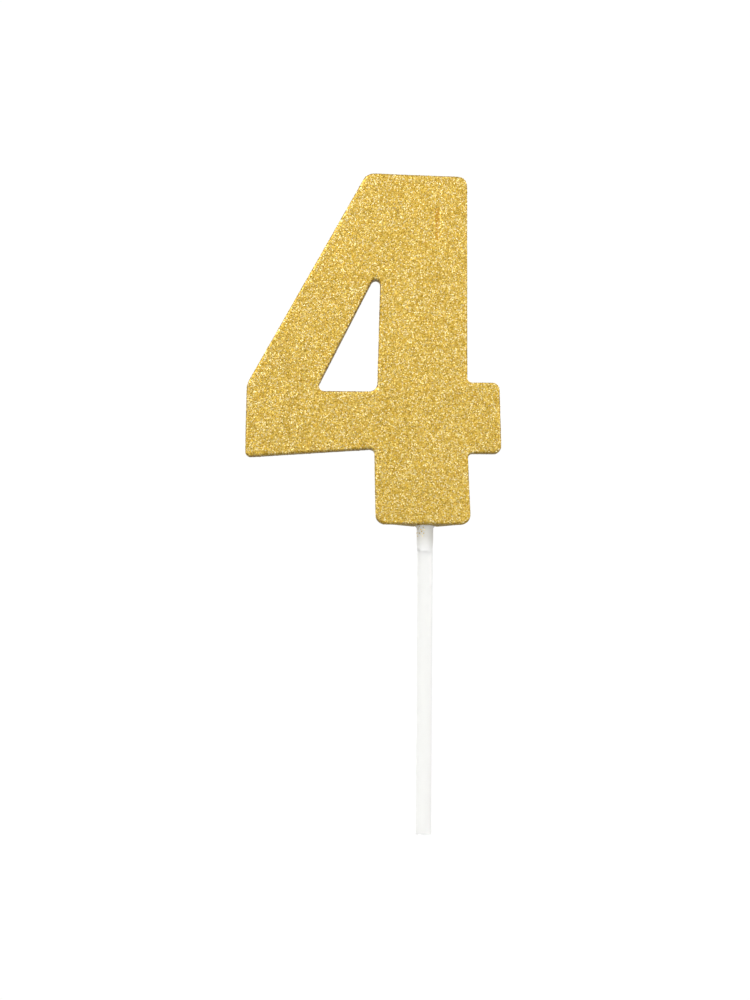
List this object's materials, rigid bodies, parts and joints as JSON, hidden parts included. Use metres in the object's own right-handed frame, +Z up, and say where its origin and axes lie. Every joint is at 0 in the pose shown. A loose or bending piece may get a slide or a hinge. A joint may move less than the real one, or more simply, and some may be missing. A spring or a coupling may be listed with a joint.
{
  "type": "number birthday candle",
  "caption": "Birthday candle shaped as the digit four: a flat wax numeral coated in gold glitter, on a clear round pick for a cake.",
  "frame": {"origin": "centre of the pick's blunt lower end", "axes": "+Z up along the pick, +X to the right seen from the front, the front face towards -Y"},
  "size_m": [0.0515, 0.007, 0.1326],
  "materials": {
    "wax": "cast paraffin wax, dyed pale gold, hidden under the coat",
    "cotton": "braided cotton wick, soaked in wax and gold lacquer",
    "clear_plastic": "clear moulded plastic rod, slightly milky",
    "adhesive": "translucent adhesive film",
    "gold_glitter": "fine gold glitter flakes of about 0.3 mm in clear gold lacquer"
  },
  "bodies": {
    "root": {"numeral_body": "wax", "wick": "cotton", "pick": "clear_plastic", "pick_adhesive": "adhesive", "glitter_front": "gold_glitter", "glitter_back": "gold_glitter", "glitter_edge_outer": "gold_glitter", "glitter_edge_counter": "gold_glitter"}
  },
  "joints": []
}
